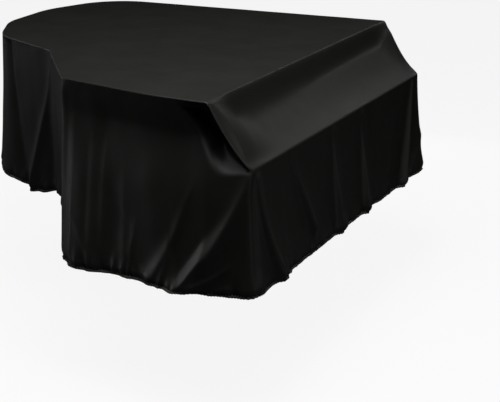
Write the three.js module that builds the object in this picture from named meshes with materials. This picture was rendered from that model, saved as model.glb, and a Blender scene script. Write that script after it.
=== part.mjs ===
// Fitted cloth cover with a flat top, a sagging front slope and a skirt that hangs to a gathered hem.
// Millimetres, +Z up. The origin lies on the underside of the top panel, and the slope faces -Y.
import * as THREE from 'three';

// Sheet and seams
const CLOTH = 2;
const SEAM_GAP = 0.3;
const RIM_RADIUS = 4;

// Front slope: where it starts and ends, how much its ridge slants across the width, how far it falls,
// and how steep it is just below the ridge
const RIDGE_Y = -606;
const RIDGE_SLANT = 0.014;
const FRONT_Y = -750;
const RIDGE_ROUND = 7;
const SLOPE_FALL = 197;
const SLOPE_STEEPEST = 1.95;

// Plan of the upper edge, from the near front corner along the curved side and round the tail
const FRONT_CORNER_RADIUS = 22;
const CORNERS = [
  { name: 'frontNear', x: -729, y: FRONT_Y, radius: FRONT_CORNER_RADIUS },
  { name: 'ridgeNear', x: -754, y: -617, radius: 70 },
  { name: 'side', x: -747, y: -428, radius: 600 },
  { name: 'bend', x: -672, y: -49, radius: 60 },
  { name: 'waist', x: -325, y: 247, radius: 160 },
  { name: 'hip', x: -170, y: 583, radius: 300 },
  { name: 'tailNear', x: 70, y: 730, radius: 300 },
  { name: 'tailFar', x: 381, y: 773, radius: 400 },
  { name: 'shoulder', x: 739, y: 677, radius: 230 },
  { name: 'ridgeFar', x: 762, y: -595, radius: 70 },
  { name: 'frontFar', x: 749, y: FRONT_Y, radius: FRONT_CORNER_RADIUS },
];

// How far past the middle of its corner each rear seam of the skirt lies
const SEAM_PAST = { hip: 41, shoulder: 46 };

// Skirt: how the hem is pulled in, and how fast the flare and the folds grow below the edge
const HEM_TUCK = 9;
const HEM_TUCK_HEIGHT = 30;
const FLARE_GROWTH = 1.3;
const FOLD_EASE = 18;

// Hem height and flare at a distance round the edge from the near front corner: plus along the curved
// side and round the tail, minus across the front
const HEM_COLUMNS = ['along', 'height', 'flare'];
const HEM_ROWS = [
  [-1470, -588, 40],
  [-1200, -592, 24],
  [-600, -590, 20],
  [-130, -590, 22],
  [0, -592, 26],
  [180, -590, 30],
  [330, -593, 32],
  [450, -595, 32],
  [526, -600, 40],
  [590, -605, 68],
  [650, -606, 64],
  [704, -605, 32],
  [764, -570, 0],
  [860, -512, -10],
  [1020, -507, -8],
  [1140, -514, 8],
  [1250, -540, 24],
  [1315, -550, 30],
  [1380, -546, 32],
  [1460, -536, 36],
  [1540, -534, 38],
  [1760, -548, 34],
  [2150, -575, 32],
  [2500, -588, 34],
  [3200, -592, 30],
  [3900, -588, 40],
];

// Folds of the skirt: a crest from (along0, z0) to (along1, z1), bowed to the right, with flanks as wide as
// left and right when seen from outside with its start on top, a narrower start, and its outward height at
// both ends. A minus height is a hollow.
const FOLD_COLUMNS = ['along0', 'z0', 'along1', 'z1', 'bow', 'left', 'right', 'narrow', 'height0', 'height1'];
const FOLD_ROWS = [
  [0, -208, 224, -588, 22, 34, 46, 0.4, 9, 27], // streak from the near front corner
  [205, -310, 318, -572, 10, 32, 24, 0.4, 4, 26], // second streak beside it
  [120, -385, 222, -540, 0, 22, 22, 0.8, -5, -13], // hollow between the two streaks
  [84, -512, 192, -588, 0, 16, 12, 0.5, 5, 12], // low streak
  [230, -112, 480, -108, 0, 62, 105, 1, -32, -24], // hollow under the edge of the top
  [440, -330, 428, -600, 0, 36, 30, 0.7, 2, 9], // soft hanging folds of the curved side
  [520, -220, 536, -600, 0, 30, 34, 0.7, 2, 8],
  [588, -220, 588, -600, 0, 30, 26, 0.8, -3, -10],
  [880, -150, 905, -520, 0, 44, 44, 0.6, 2, 12],
  [1020, -200, 1000, -510, 0, 36, 36, 0.6, -2, -9],
  [1160, -110, 1296, -520, 0, 34, 24, 0.6, 3, 19], // fold across the waist
  [1470, -20, 1366, -530, -14, 80, 50, 0.45, -14, -28], // valley from the hip
  [1650, -160, 1690, -535, 0, 48, 40, 0.5, 2, 16], // hanging folds of the tail
  [1880, -120, 1850, -555, 0, 44, 50, 0.5, 2, 14],
  [2120, -180, 2160, -575, 0, 46, 46, 0.5, 2, 15],
  [2476, -40, 2440, -585, 0, 60, 60, 0.3, 4, 24], // fold at the shoulder
  [2590, -120, 2640, -588, 0, 40, 44, 0.5, -3, -14],
  [2900, -200, 2860, -590, 0, 50, 46, 0.6, 2, 13], // hanging folds of the straight side
  [3230, -160, 3260, -590, 0, 50, 50, 0.6, 2, 12],
  [3560, -220, 3540, -590, 0, 46, 50, 0.6, 2, 13],
  [-30, -212, -150, -575, -30, 15, 50, 0.5, 6, 19], // streak across the front from the near corner
  [-296, -280, -394, -480, 0, 15, 44, 0.6, 4, 14], // slanting fold of the front
  [-599, -225, -630, -560, 0, 16, 60, 0.6, 6, 17], // hanging folds of the front
  [-856, -240, -874, -560, 0, 16, 50, 0.6, 6, 17],
  [-940, -280, -960, -570, 0, 36, 40, 0.8, -4, -10],
  [-1190, -320, -1090, -500, 0, 34, 34, 0.7, 2, 11],
  [-1392, -206, -1240, -575, 0, 20, 24, 0.5, 7, 24], // streak from the far front corner
  [-1404, -290, -1332, -580, 0, 34, 40, 0.7, -10, -24], // hollow beside it
  [-1470, -430, -1350, -575, 0, 22, 22, 0.7, 4, 12],
];

// Pocket under the near edge of the slope: its lip falls away from the corner, its floor climbs inwards to a
// deepest line and closes again under the edge, its left end leans and fades, and it is pushed in square to
// the edge as measured over a long reach
const POCKET = {
  lip: -204,
  fall: 0.12,
  leastHeight: 24,
  climb: 72,
  climbShare: 0.42,
  steepness: 0.85,
  close: 30,
  closeShare: 0.35,
  start: 18,
  end: 62,
  lean: 0.64,
  fade: 60,
  reach: 90,
};

// Slope between its side edges: it drops at the ridge, then eases off towards the front, and from one inset
// to the other it lets go of the edges
const DROP = { height: 56, start: 6, ease: 17, slopeEase: 0.28, heldTo: 16, freeFrom: 140 };

// Step up beside the near edge of the slope: the ledge outside it and its width, how both narrow towards its
// ends, the insets over which the raised cloth comes down again, and its share of the slope's length
const STEP = {
  height: 22,
  ledge: 17,
  width: 17,
  narrow: 0.5,
  wide: 1.1,
  highTo: 60,
  lowFrom: 260,
  share: 0.86,
};

// Creases of the slope in plan, with the columns of the folds, and how soon they fade at its ridge and front
const CREASE_FADE = 28;
const CREASE_COLUMNS = ['x0', 'y0', 'x1', 'y1', 'bow', 'left', 'right', 'narrow', 'height0', 'height1'];
const CREASE_ROWS = [
  [736, -680, 731, -730, 0, 9, 20, 1, -6, -3], // valley inside the far side edge
];

// Mesh stations: skirt columns by stretch, rows down the skirt, rows and columns of the slope, and the
// small steps over which edges and slopes are measured
const SKIRT_STEPS = [
  { to: 340, step: 20 },
  { to: 640, step: 32 },
  { to: 770, step: 16 },
  { to: 1080, step: 50 },
  { to: 1480, step: 23 },
  { to: 1640, step: 30 },
  { to: 2330, step: 52 },
  { to: 2640, step: 31 },
  { to: 3900, step: 70 },
];
const FRONT_STEP = 29;
const SKIRT_ROWS = [
  0, 0.02, 0.045, 0.08, 0.12, 0.165, 0.21, 0.26, 0.315, 0.38, 0.45, 0.53, 0.61, 0.69, 0.77, 0.855, 0.935, 1,
];
const SLOPE_RUNS = [-RIDGE_ROUND, -2, 2, RIDGE_ROUND, 13, 20, 29, 42, 58, 76, 95, 114];
const CORNER_TURNS = [1, 0.75, 0.5, 0.25, 0];
const SIDE_REACH = 300;
const BISECTIONS = 50;
const TANGENT_REACH = 3;
const PROBE = 0.5;
const PROBE_DOWN = 0.0005;
const RIM_ANGLES = [0, 25, 56, 90];
const SLOPE_INSETS = [10, 18, 27, 37, 60, 100, 150, 215];
const SLOPE_MIDDLE_CELLS = 12;

// Flat rectangle in the top panel that rests on what the cover lies over
const REST = { x0: -260, x1: 340, y0: -260, y1: 140 };

const CLOTH_COLOR = 0x22221f;
const CLOTH_ROUGHNESS = 0.6;

const asRows = (columns, rows) => rows.map(
  (row) => Object.fromEntries(columns.map((column, i) => [column, row[i]])),
);
const HEM = asRows(HEM_COLUMNS, HEM_ROWS);
const FOLDS = asRows(FOLD_COLUMNS, FOLD_ROWS).map(({ along0, z0, along1, z1, ...fold }) => (
  { start: new THREE.Vector2(along0, z0), end: new THREE.Vector2(along1, z1), ...fold }
));
const CREASES = asRows(CREASE_COLUMNS, CREASE_ROWS).map(({ x0, y0, x1, y1, ...fold }) => (
  { start: new THREE.Vector2(x0, y0), end: new THREE.Vector2(x1, y1), ...fold }
));
const { clamp, lerp, smoothstep, degToRad } = THREE.MathUtils;

// Closed outline with an arc at each corner
function roundedOutline(corners) {
  const path = new THREE.Path();
  corners.forEach(({ x, y, radius }, i) => {
    const corner = new THREE.Vector2(x, y);
    const before = corners.at(i - 1);
    const after = corners[(i + 1) % corners.length];
    const toBefore = new THREE.Vector2(before.x, before.y).sub(corner).normalize();
    const toAfter = new THREE.Vector2(after.x, after.y).sub(corner).normalize();
    const half = Math.acos(toBefore.dot(toAfter)) / 2;
    const reach = radius / Math.tan(half);
    const bisector = toBefore.clone().add(toAfter).normalize();
    const centre = corner.clone().addScaledVector(bisector, radius / Math.sin(half));
    const first = corner.clone().addScaledVector(toBefore, reach).sub(centre);
    const last = corner.clone().addScaledVector(toAfter, reach).sub(centre);
    const clockwise = toBefore.cross(toAfter) > 0;
    path.absarc(centre.x, centre.y, radius, first.angle(), last.angle(), clockwise);
  });
  path.closePath();
  return path;
}

const OUTLINE = roundedOutline(CORNERS);
const ROUND = OUTLINE.getLength();
const cornerIndex = (name) => CORNERS.findIndex((corner) => corner.name === name);
const cornerArc = (name) => OUTLINE.curves[2 * cornerIndex(name)];
const cornerX = (name) => CORNERS[cornerIndex(name)].x;
const HALF_CORNER = cornerArc('frontNear').getLength() / 2;
const CORNER_SWEEP = 2 * HALF_CORNER / FRONT_CORNER_RADIUS;

// Distance round the edge to the middle of a corner's arc
function cornerAlong(name) {
  const arc = cornerArc(name);
  const before = OUTLINE.curves.slice(0, OUTLINE.curves.indexOf(arc));
  return before.reduce((sum, curve) => sum + curve.getLength(), arc.getLength() / 2) - HALF_CORNER;
}

const HIP = cornerAlong('hip') + SEAM_PAST.hip;
const SHOULDER = cornerAlong('shoulder') + SEAM_PAST.shoulder;
const FAR_CORNER = cornerAlong('frontFar');

const outlinePoint = (along) => {
  const turn = (along + HALF_CORNER) / ROUND;
  return OUTLINE.getPoint(turn - Math.floor(turn));
};

// Outward direction, square to the edge in plan
function outwardAt(along, reach = TANGENT_REACH) {
  const ahead = outlinePoint(along + reach);
  const tangent = ahead.sub(outlinePoint(along - reach)).normalize();
  return new THREE.Vector2(-tangent.y, tangent.x);
}

const ridgeY = (x) => RIDGE_Y + RIDGE_SLANT * x;

// Fall of the roof below the flat top: nothing on the top, a round ridge, then a slope that eases off
function roofFall(x, y) {
  const run = ridgeY(x) - y;
  if (run <= -RIDGE_ROUND) return 0;
  if (run < RIDGE_ROUND) return SLOPE_STEEPEST * (run + RIDGE_ROUND) ** 2 / (4 * RIDGE_ROUND);
  const whole = ridgeY(x) - FRONT_Y;
  const easing = (SLOPE_STEEPEST * whole - SLOPE_FALL) / (whole - RIDGE_ROUND) ** 2;
  return SLOPE_STEEPEST * run - easing * (run - RIDGE_ROUND) ** 2;
}

// Height of one fold at a point of its sheet
function foldHeight(fold, u, v) {
  const line = fold.end.clone().sub(fold.start);
  const length = line.length();
  const across = new THREE.Vector2(u, v).sub(fold.start);
  const t = across.dot(line) / length ** 2;
  const inside = clamp(t, 0, 1);
  const side = across.cross(line) / length - 4 * fold.bow * inside * (1 - inside);
  const width = (side > 0 ? fold.right : fold.left) * lerp(fold.narrow, 1, inside);
  const past = Math.abs(t - inside) * length;
  const height = lerp(fold.height0, fold.height1, inside);
  return height * Math.exp(-((side / width) ** 2) - (past / (fold.left + fold.right)) ** 2);
}

const wrap = (along) => along - ROUND * Math.round(along / ROUND);

// Hem height and flare, eased between the rows
function hemAt(along) {
  const place = along > FAR_CORNER ? along - ROUND : along;
  const next = HEM.findIndex((row) => row.along > place);
  if (next < 1) return next === 0 ? HEM[0] : HEM.at(-1);
  const [a, b] = [HEM[next - 1], HEM[next]];
  const t = smoothstep(place, a.along, b.along);
  return { height: lerp(a.height, b.height, t), flare: lerp(a.flare, b.flare, t) };
}

// Top edge of the skirt, a seam's width below the rim of the roof
function skirtTop({ x, y }) {
  const steepness = (roofFall(x, y - PROBE) - roofFall(x, y + PROBE)) / (2 * PROBE);
  return CLOTH - roofFall(x, y) - RIM_RADIUS - SEAM_GAP * Math.hypot(1, steepness);
}

// Depth of the pocket at a height of the skirt, whose top edge is given too
function pocketDepth(along, z, top) {
  const lip = POCKET.lip - POCKET.fall * along;
  const height = Math.max(top - lip, POCKET.leastHeight);
  const climb = Math.min(POCKET.climb, POCKET.climbShare * height);
  const floor = clamp((z - lip) / climb, 0, 1);
  const close = smoothstep(top - z, 0, Math.min(POCKET.close, POCKET.closeShare * height));
  const end = POCKET.end + POCKET.lean * (z - POCKET.lip);
  const open = smoothstep(along, 0, POCKET.start) * smoothstep(end + POCKET.fade - along, 0, POCKET.fade);
  return POCKET.steepness * climb * floor * close * open;
}

// Point of the skirt's outer face: down is 0 at its top edge and 1 at the hem
function skirtPoint(along, down) {
  const edge = outlinePoint(along);
  const outward = outwardAt(along);
  const hem = hemAt(along);
  const top = skirtTop(edge);
  const z = lerp(top, hem.height, down);
  const folds = FOLDS.reduce((sum, fold) => (
    sum + foldHeight(fold, fold.start.x + wrap(along - fold.start.x), z)
  ), 0);
  const tuck = HEM_TUCK * smoothstep(hem.height + HEM_TUCK_HEIGHT - z, 0, HEM_TUCK_HEIGHT);
  const flare = hem.flare * Math.max(down, 0) ** FLARE_GROWTH;
  const out = flare + folds * smoothstep(top - z, 0, FOLD_EASE) - tuck;
  const inwards = outwardAt(Math.max(wrap(along), POCKET.reach), POCKET.reach).negate();
  const place = edge.addScaledVector(outward, out).addScaledVector(inwards, pocketDepth(wrap(along), z, top));
  return new THREE.Vector3(place.x, place.y, z);
}

// Outer and inner vertex of a skirt, a sheet's thickness apart along its normal
function skirtVertex(along, down) {
  const outer = skirtPoint(along, down);
  const round = skirtPoint(along + PROBE, down).sub(skirtPoint(along - PROBE, down));
  const hang = skirtPoint(along, down + PROBE_DOWN).sub(skirtPoint(along, down - PROBE_DOWN));
  const normal = round.cross(hang).normalize();
  return { outer, inner: outer.clone().addScaledVector(normal, -CLOTH) };
}

// How far the slope hangs below the line of its side edges
function slopeSag(x, y) {
  const run = ridgeY(x) - y;
  const ramp = run < RIDGE_ROUND ? Math.max(run + RIDGE_ROUND, 0) ** 2 / (4 * RIDGE_ROUND) : run;
  const drop = DROP.height * (1 - Math.exp(-((Math.max(run + DROP.start, 0) / DROP.ease) ** 2)));
  const part = ramp / (ridgeY(x) - FRONT_Y);
  const fall = drop + (SLOPE_FALL - DROP.height) * part * (1 + DROP.slopeEase * (1 - part));
  const inset = Math.min(x - cornerX('frontNear'), cornerX('frontFar') - x);
  return smoothstep(inset, DROP.heldTo, DROP.freeFrom) * (fall - roofFall(x, y));
}

// Height of the step up from the ledge along the near edge of the slope
function nearStep(x, y) {
  const share = clamp((ridgeY(x) - y) / (ridgeY(x) - FRONT_Y), 0, 1);
  const inset = x - lerp(cornerX('ridgeNear'), cornerX('frontNear'), share);
  const swell = Math.sin(Math.PI * Math.min(share / STEP.share, 1));
  const rise = smoothstep(inset / lerp(STEP.narrow, STEP.wide, swell), STEP.ledge, STEP.ledge + STEP.width);
  return STEP.height * swell * rise * (1 - smoothstep(inset, STEP.highTo, STEP.lowFrom));
}

// Height of the roof before its rim is turned down
function roofHeight(x, y) {
  const creases = CREASES.reduce((sum, fold) => sum + foldHeight(fold, x, y), 0);
  const belowRidge = smoothstep(ridgeY(x) - y, RIDGE_ROUND, RIDGE_ROUND + CREASE_FADE);
  const aboveFront = smoothstep(y - FRONT_Y, 0, CREASE_FADE);
  return CLOTH - roofFall(x, y) - slopeSag(x, y) + nearStep(x, y) + creases * belowRidge * aboveFront;
}

// Outer and inner vertex of the roof at a plan point: its rim turns down over the last inset to the edge
function roofVertex(x, y, inset, outward) {
  const lean = clamp(1 - inset / RIM_RADIUS, 0, 1);
  const upright = Math.sqrt(1 - lean ** 2);
  const riseX = roofHeight(x + PROBE, y) - roofHeight(x - PROBE, y);
  const riseY = roofHeight(x, y + PROBE) - roofHeight(x, y - PROBE);
  const up = new THREE.Vector3(-riseX, -riseY, 2 * PROBE).normalize();
  const normal = new THREE.Vector3(outward.x, outward.y, 0).multiplyScalar(lean);
  normal.addScaledVector(up, upright).normalize();
  const outer = new THREE.Vector3(x, y, roofHeight(x, y) - RIM_RADIUS * (1 - upright));
  return { outer, inner: outer.clone().addScaledVector(normal, -CLOTH) };
}

// Closed sheet: outer faces, inner faces turned over, and a wall along every open edge, cut along the
// diagonal that the wall across its seam has too
function sheetGeometry(vertices, faces) {
  const count = vertices.length;
  const triangles = [];
  const open = new Map();
  for (const [a, b, c] of faces) {
    triangles.push([a, b, c], [a + count, c + count, b + count]);
    for (const [from, to] of [[a, b], [b, c], [c, a]]) {
      if (!open.delete(`${to},${from}`)) open.set(`${from},${to}`, [from, to]);
    }
  }
  for (const [from, to] of open.values()) {
    const wall = from < to
      ? [[to, from, from + count], [to, from + count, to + count]]
      : [[to, from, to + count], [from, from + count, to + count]];
    triangles.push(...wall);
  }
  const points = [...vertices.map((v) => v.outer), ...vertices.map((v) => v.inner)];
  const geometry = new THREE.BufferGeometry().setFromPoints(points);
  geometry.setIndex(triangles.flat());
  geometry.computeVertexNormals();
  return geometry;
}

// Two triangles for each cell of a grid whose vertices run down each column in turn, cut along the
// diagonal that lies nearer to the surface in the middle of the cell
function gridFaces(vertices, rows, middleOf) {
  const faces = [];
  const columns = vertices.length / rows;
  for (let i = 0; i + 1 < columns; i += 1) {
    for (let j = 0; j + 1 < rows; j += 1) {
      const a = i * rows + j;
      const [b, c, d] = [a + rows, a + rows + 1, a + 1];
      const middle = middleOf(i, j);
      const miss = (p, q) => vertices[p].outer.clone().lerp(vertices[q].outer, 0.5).distanceTo(middle);
      const cell = miss(a, c) < miss(b, d) ? [[a, b, c], [a, c, d]] : [[a, b, d], [b, c, d]];
      faces.push(...cell);
    }
  }
  return faces;
}

function panel(name, geometry) {
  const material = new THREE.MeshStandardMaterial(
    { color: CLOTH_COLOR, roughness: CLOTH_ROUGHNESS, metalness: 0, side: THREE.DoubleSide },
  );
  const mesh = new THREE.Mesh(geometry, material);
  mesh.name = name;
  return mesh;
}

// Evenly spaced values from one end to the other, both included
function spaced(from, to, step) {
  const count = Math.max(1, Math.round(Math.abs(to - from) / step));
  return Array.from({ length: count + 1 }, (_, i) => lerp(from, to, i / count));
}

// Rows of the slope, at a run below its slanting ridge and then round its front corners. The skirt columns
// below its side edges share them.
const SLOPE_ROWS = [
  ...SLOPE_RUNS.map((run) => (x) => lerp(ridgeY(x), FRONT_Y, run / (RIDGE_Y - FRONT_Y))),
  ...CORNER_TURNS.map((turn) => () => FRONT_Y + FRONT_CORNER_RADIUS * (1 - Math.cos(CORNER_SWEEP * turn))),
];

// Where a row meets the near and far side edges
function rowEnd(row, low, high) {
  const offset = (along) => outlinePoint(along).y - row(outlinePoint(along).x);
  const rising = offset(high) > offset(low);
  let [from, to] = [low, high];
  for (let i = 0; i < BISECTIONS; i += 1) {
    const middle = (from + to) / 2;
    [from, to] = offset(middle) < 0 === rising ? [middle, to] : [from, middle];
  }
  return (from + to) / 2;
}
const nearEnd = (row) => rowEnd(row, -HALF_CORNER, SIDE_REACH);
const farEnd = (row) => rowEnd(row, FAR_CORNER + HALF_CORNER, FAR_CORNER - SIDE_REACH);
const nearStations = SLOPE_ROWS.map(nearEnd).reverse();
const farStations = SLOPE_ROWS.map(farEnd);

// Skirt columns round the sides and the tail, from the near front corner to the far one
function sideColumns() {
  const columns = nearStations.filter((along) => along > 0);
  for (const { to, step } of SKIRT_STEPS) {
    columns.push(...spaced(columns.at(-1), Math.min(to, farStations[0]), step).slice(1));
  }
  return [...columns, ...farStations.slice(1)];
}

// Skirt columns across the front, from the far corner to the near one
function frontColumns() {
  const far = farStations.map((along) => along - ROUND);
  return [...far, ...spaced(far.at(-1), nearStations[0], FRONT_STEP).slice(1, -1), ...nearStations];
}

// One skirt panel between two distances round the edge, half a seam short of each
function skirtPanel(name, columns, from, to) {
  const between = columns.filter((along) => along > from + SEAM_GAP && along < to - SEAM_GAP);
  const stations = [from + SEAM_GAP / 2, ...between, to - SEAM_GAP / 2];
  const vertices = stations.flatMap((along) => SKIRT_ROWS.map((down) => skirtVertex(along, down)));
  const middleOf = (i, j) => skirtPoint(
    (stations[i] + stations[i + 1]) / 2,
    (SKIRT_ROWS[j] + SKIRT_ROWS[j + 1]) / 2,
  );
  return panel(name, sheetGeometry(vertices, gridFaces(vertices, SKIRT_ROWS.length, middleOf)));
}

const rimInsets = RIM_ANGLES.map((angle) => RIM_RADIUS * (1 - Math.sin(degToRad(angle))));

// Nearest edge of the slope: how far in a point lies, and which way that edge faces
function slopeEdge(point, near, far) {
  for (const [name, side] of [['frontNear', -1], ['frontFar', 1]]) {
    const arc = cornerArc(name);
    const fromCentre = new THREE.Vector2(point.x - arc.aX, point.y - arc.aY);
    if (fromCentre.x * side > 0 && fromCentre.y < 0) {
      return { inset: Math.max(arc.xRadius - fromCentre.length(), 0), outward: fromCentre.normalize() };
    }
  }
  const edges = [
    { inset: point.x - outlinePoint(near).x, outward: outwardAt(near) },
    { inset: outlinePoint(far).x - point.x, outward: outwardAt(far) },
    { inset: point.y - FRONT_Y, outward: new THREE.Vector2(0, -1) },
  ];
  return edges.reduce((best, edge) => (edge.inset < best.inset ? edge : best));
}

// Slope panel: rows from the ridge to the front edge, columns from the near edge to the far one
function slopePanel() {
  const insets = [...rimInsets.toReversed(), ...SLOPE_INSETS];
  const margin = insets.at(-1);
  const vertices = SLOPE_ROWS.flatMap((row, i) => {
    const near = nearEnd(row);
    const far = farEnd(row);
    const left = outlinePoint(near).x;
    const right = outlinePoint(far).x;
    const middle = spaced(left + margin, right - margin, (right - left - 2 * margin) / SLOPE_MIDDLE_CELLS);
    const nearXs = insets.map((inset) => left + inset);
    const farXs = insets.map((inset) => right - inset).reverse();
    const seam = i === 0 ? SEAM_GAP : 0;
    return [...nearXs, ...middle.slice(1, -1), ...farXs].map((x) => {
      const point = new THREE.Vector2(x, row(x) - seam);
      const edge = slopeEdge(point, near, far);
      return roofVertex(point.x, point.y, edge.inset, edge.outward);
    });
  });
  const columns = vertices.length / SLOPE_ROWS.length;
  const middleOf = (i, j) => {
    const corners = [0, 1, columns, columns + 1].map((step) => vertices[i * columns + j + step].outer);
    const { x, y } = corners.reduce((sum, corner) => sum.addScaledVector(corner, 1 / 4), new THREE.Vector3());
    return new THREE.Vector3(x, y, roofHeight(x, y));
  };
  return panel('slope_panel', sheetGeometry(vertices, gridFaces(vertices, columns, middleOf)));
}

// Top panel: a rim turned down along the edge, and a flat fill with the rest rectangle in it
function topPanel() {
  const front = SLOPE_ROWS[0];
  const [start, end] = [nearEnd(front), farEnd(front)];
  const columns = sideColumns().filter((along) => along >= start && along <= end);
  const rim = columns.flatMap((along) => {
    const edge = outlinePoint(along);
    const outward = outwardAt(along);
    const atFront = along === start || along === end;
    return rimInsets.map((inset) => {
      const x = edge.x - outward.x * inset;
      const y = atFront ? front(x) : edge.y - outward.y * inset;
      return roofVertex(x, y, inset, outward);
    });
  });
  const corners = [[REST.x0, REST.y0], [REST.x1, REST.y0], [REST.x1, REST.y1], [REST.x0, REST.y1]];
  const rest = corners.map(([x, y]) => roofVertex(x, y, RIM_RADIUS, new THREE.Vector2()));
  const ring = columns.map((_, i) => i * rimInsets.length);
  const hole = rest.map((_, i) => rim.length + i);
  const vertices = [...rim, ...rest];
  const plan = (index) => new THREE.Vector2(vertices[index].outer.x, vertices[index].outer.y);
  const order = [...ring, ...hole];
  const fill = THREE.ShapeUtils.triangulateShape(ring.map(plan), [hole.map(plan)]).map((triangle) => {
    const [a, b, c] = triangle.map((i) => order[i]);
    return plan(b).sub(plan(a)).cross(plan(c).sub(plan(a))) > 0 ? [a, b, c] : [a, c, b];
  });
  const faces = [
    ...gridFaces(rim, rimInsets.length, (i, j) => rim[i * rimInsets.length + j].outer),
    ...fill,
    [hole[0], hole[1], hole[2]],
    [hole[0], hole[2], hole[3]],
  ];
  return panel('top_panel', sheetGeometry(vertices, faces));
}

const cover = new THREE.Group();
cover.add(topPanel());
cover.add(slopePanel());
cover.add(skirtPanel('front_skirt', frontColumns(), FAR_CORNER - ROUND, 0));
cover.add(skirtPanel('curved_side_skirt', sideColumns(), 0, HIP));
cover.add(skirtPanel('tail_skirt', sideColumns(), HIP, SHOULDER));
cover.add(skirtPanel('straight_side_skirt', sideColumns(), SHOULDER, FAR_CORNER));

export default cover;
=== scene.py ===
"""Black fitted cloth cover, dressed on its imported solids.

Shapes are worked out in millimetres, in the frame of the solids, and become metres when a mesh is made.
"""

import math

import bpy
import numpy as np
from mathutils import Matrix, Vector
from mathutils.geometry import delaunay_2d_cdt


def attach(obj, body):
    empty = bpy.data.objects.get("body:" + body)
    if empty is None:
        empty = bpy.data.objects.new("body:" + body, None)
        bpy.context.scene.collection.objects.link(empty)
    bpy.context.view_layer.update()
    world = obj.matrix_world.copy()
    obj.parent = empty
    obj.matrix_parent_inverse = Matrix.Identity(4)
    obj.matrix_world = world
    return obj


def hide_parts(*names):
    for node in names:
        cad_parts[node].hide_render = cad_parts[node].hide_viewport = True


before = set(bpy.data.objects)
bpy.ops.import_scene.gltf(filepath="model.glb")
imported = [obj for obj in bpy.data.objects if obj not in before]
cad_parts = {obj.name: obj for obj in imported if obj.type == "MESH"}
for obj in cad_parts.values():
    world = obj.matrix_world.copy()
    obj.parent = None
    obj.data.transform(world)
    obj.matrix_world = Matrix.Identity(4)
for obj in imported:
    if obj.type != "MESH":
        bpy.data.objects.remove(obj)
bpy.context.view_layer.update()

MM = 0.001
SEED = 7

# Cloth and seams
CLOTH = 2.0
SHEET = 1.0
SEAM_GAP = 0.02
RIM_RADIUS = 4.0

# Front slope
RIDGE_Y = -606.0
RIDGE_SLANT = 0.014
FRONT_Y = -750.0
RIDGE_ROUND = 7.0
SLOPE_FALL = 197.0
SLOPE_STEEPEST = 1.95

# Plan of the upper edge: x, y and rounding of each corner
FRONT_CORNER_RADIUS = 22.0
CORNERS = {
    "front_near": (-729, FRONT_Y, FRONT_CORNER_RADIUS),
    "ridge_near": (-754, -617, 70),
    "side": (-747, -428, 600),
    "bend": (-672, -49, 60),
    "waist": (-325, 247, 160),
    "hip": (-170, 583, 300),
    "tail_near": (70, 730, 300),
    "tail_far": (381, 773, 400),
    "shoulder": (739, 677, 230),
    "ridge_far": (762, -595, 70),
    "front_far": (749, FRONT_Y, FRONT_CORNER_RADIUS),
}

# How far past the middle of its corner each rear seam of the skirt lies
HIP_SEAM_PAST = 41.0
SHOULDER_SEAM_PAST = 46.0

# Skirt
HEM_TUCK = 9.0
HEM_TUCK_HEIGHT = 30.0
FLARE_GROWTH = 1.3
FOLD_EASE = 18.0

# Crest of a fold: its share of the crisp profile, and that profile's steepness and rounding
FOLD_CREST = 0.4
CREST_STEEP = 1.5
CREST_ROUND = 0.03
CREST_TOP = 0.173

# Hem height and flare at a distance round the edge from the near front corner: plus along the curved
# side and round the tail, minus across the front
HEM_ROWS = np.array([
    (-1470, -588, 40),
    (-1200, -592, 24),
    (-600, -590, 20),
    (-130, -590, 22),
    (0, -592, 26),
    (180, -590, 30),
    (330, -593, 32),
    (450, -595, 32),
    (526, -600, 40),
    (590, -605, 68),
    (650, -606, 64),
    (704, -605, 32),
    (764, -570, 0),
    (860, -512, -10),
    (1020, -507, -8),
    (1140, -514, 8),
    (1250, -540, 24),
    (1315, -550, 30),
    (1380, -546, 32),
    (1460, -536, 36),
    (1540, -534, 38),
    (1760, -548, 34),
    (2150, -575, 32),
    (2500, -588, 34),
    (3200, -592, 30),
    (3900, -588, 40),
], float)

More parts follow.
